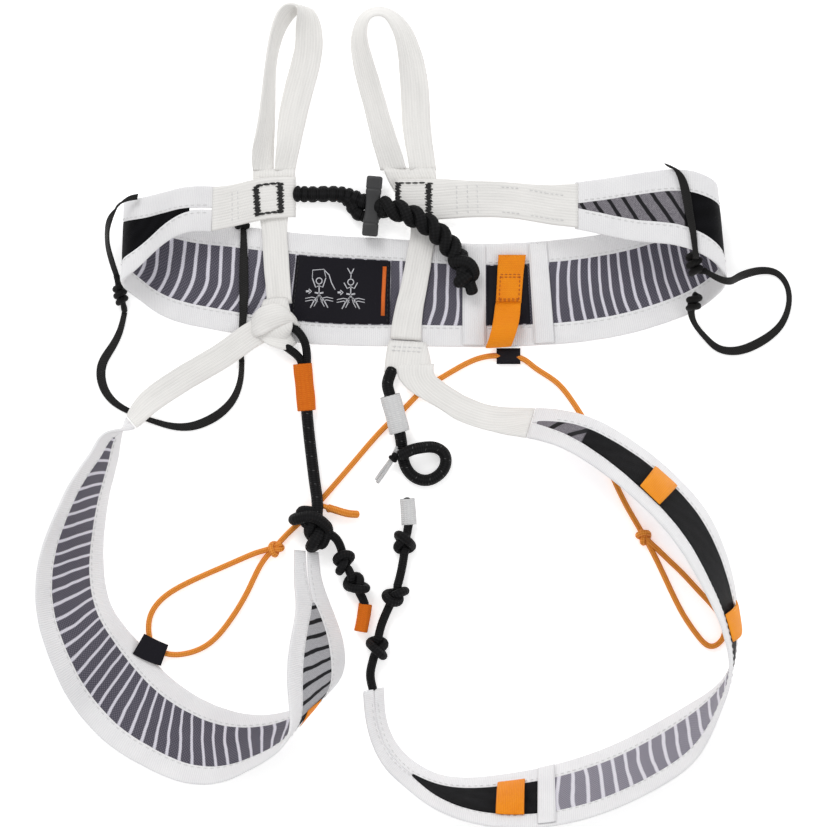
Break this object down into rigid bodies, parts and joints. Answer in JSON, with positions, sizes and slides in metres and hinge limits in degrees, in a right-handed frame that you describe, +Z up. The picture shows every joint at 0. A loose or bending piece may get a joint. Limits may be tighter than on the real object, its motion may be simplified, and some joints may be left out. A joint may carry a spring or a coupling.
{
  "type": "climbing harness",
  "caption": "Lightweight glacier and ski-mountaineering harness laid flat: waist belt, webbing tie-in loops, leg loops, gear loops and knotted cord closures.",
  "frame": {"origin": "bottom centre of the laid-out harness, on the surface it lies on", "axes": "+Z up out of the surface it is laid on, +Y from the leg loops towards the tie-in loops, +X to the right as seen from above with the tie-in loops away from the viewer"},
  "size_m": [0.3777, 0.4107, 0.0483],
  "materials": {
    "white_webbing": "ribbed white polyamide webbing and edge tape",
    "grey_mesh": "grey-violet mesh with white load-bearing stripes",
    "black_fabric": "black woven fabric and flat tape",
    "black_cord": "black braided cord",
    "orange_tape": "orange woven tape",
    "orange_elastic": "orange braided elastic",
    "grey_plastic": "matt moulded plastic"
  },
  "bodies": {
    "belt": {"belt_lower_tape": "white_webbing", "belt_upper_tape": "white_webbing", "belt_inner_mesh": "grey_mesh", "belt_outer_fabric": "black_fabric", "label_panel": "black_fabric", "left_cross_band": "white_webbing", "right_cross_band": "white_webbing", "rear_reinforcement": "black_fabric", "left_front_strap": "white_webbing", "right_front_strap": "white_webbing", "left_riser": "white_webbing", "right_riser": "white_webbing", "right_riser_block": "white_webbing", "left_hitch": "white_webbing", "haul_loop_foot": "orange_tape", "elastic_tab": "black_fabric", "left_gear_keeper": "black_fabric", "left_gear_anchor": "black_fabric", "left_gear_knot": "black_cord", "right_gear_anchor": "black_fabric", "right_gear_knot": "black_cord", "waist_cord": "black_cord", "waist_cord_tail": "black_cord", "left_elastic": "orange_elastic", "right_elastic": "orange_elastic"},
    "haul": {"haul_loop": "orange_tape"},
    "left_tie_in": {"left_tie_in_loop": "white_webbing"},
    "right_tie_in": {"right_tie_in_loop": "white_webbing"},
    "left_gear": {"left_gear_loop": "black_fabric"},
    "right_gear": {"right_gear_loop": "black_fabric"},
    "toggle": {"waist_toggle": "grey_plastic"},
    "left_leg": {"left_leg_strap": "white_webbing", "left_leg_foot_tape": "white_webbing", "left_leg_rim_tape": "white_webbing", "left_leg_inner_mesh": "grey_mesh", "left_leg_outer_fabric": "black_fabric", "left_closure_loop": "black_cord", "left_closure_sleeve": "orange_tape", "left_closure_cord": "black_cord", "left_closure_knot": "black_cord", "left_closure_tail": "black_cord", "left_tail_tip": "orange_tape", "left_elastic_loop": "orange_elastic", "left_elastic_tab": "black_fabric"},
    "right_leg": {"right_leg_strap": "white_webbing", "right_leg_foot_tape": "white_webbing", "right_leg_rim_tape": "white_webbing", "right_leg_inner_mesh": "grey_mesh", "right_leg_outer_fabric": "black_fabric", "right_leg_cross_band": "white_webbing", "tool_loop_upper": "orange_tape", "tool_loop_middle": "orange_tape", "tool_loop_lower": "orange_tape", "right_elastic_loop": "orange_elastic", "right_knotted_cord": "black_cord", "right_cord_tip": "white_webbing"},
    "right_closure": {"right_closure_top": "black_cord", "right_closure_sleeve": "white_webbing", "right_closure_cord": "black_cord"}
  },
  "joints": [
    {"name": "left_tie_in_swing", "type": "hinge", "parent": "belt", "child": "left_tie_in", "pos_m": [-0.065, 0.1213, 0.005], "axis": [1, 0, 0], "range_deg": [0, 90]},
    {"name": "right_tie_in_swing", "type": "hinge", "parent": "belt", "child": "right_tie_in", "pos_m": [-0.0025, 0.1218, 0.005], "axis": [1, 0, 0], "range_deg": [0, 90]},
    {"name": "left_gear_swing", "type": "hinge", "parent": "belt", "child": "left_gear", "pos_m": [-0.0862, 0.0265, 0.0013], "axis": [-0.914, 0.4056, 0.0094], "range_deg": [0, 104]},
    {"name": "right_gear_swing", "type": "hinge", "parent": "belt", "child": "right_gear", "pos_m": [0.139, 0.066, 0.0163], "axis": [-0.03, -0.805, -0.5925], "range_deg": [0, 80]},
    {"name": "haul_swing", "type": "hinge", "parent": "belt", "child": "haul", "pos_m": [0.0471, 0.056, 0.005], "axis": [-1, 0, 0], "range_deg": [0, 80]},
    {"name": "toggle_tilt", "type": "hinge", "parent": "belt", "child": "toggle", "pos_m": [-0.0208, 0.1042, 0.0082], "axis": [1, 0, 0], "range_deg": [-12, 12]},
    {"name": "left_leg_swing", "type": "hinge", "parent": "belt", "child": "left_leg", "pos_m": [-0.068, 0.0452, 0.008], "axis": [-1, 0, 0], "range_deg": [0, 60], "deforming": ["left_elastic"]},
    {"name": "right_leg_swing", "type": "hinge", "parent": "belt", "child": "right_leg", "pos_m": [-0.003, 0.0211, 0.008], "axis": [-1, 0, 0], "range_deg": [0, 60], "deforming": ["right_elastic"]},
    {"name": "right_closure_swing", "type": "hinge", "parent": "belt", "child": "right_closure", "pos_m": [-0.012, 0.0211, 0.008], "axis": [-1, 0, 0], "range_deg": [0, 90]}
  ]
}
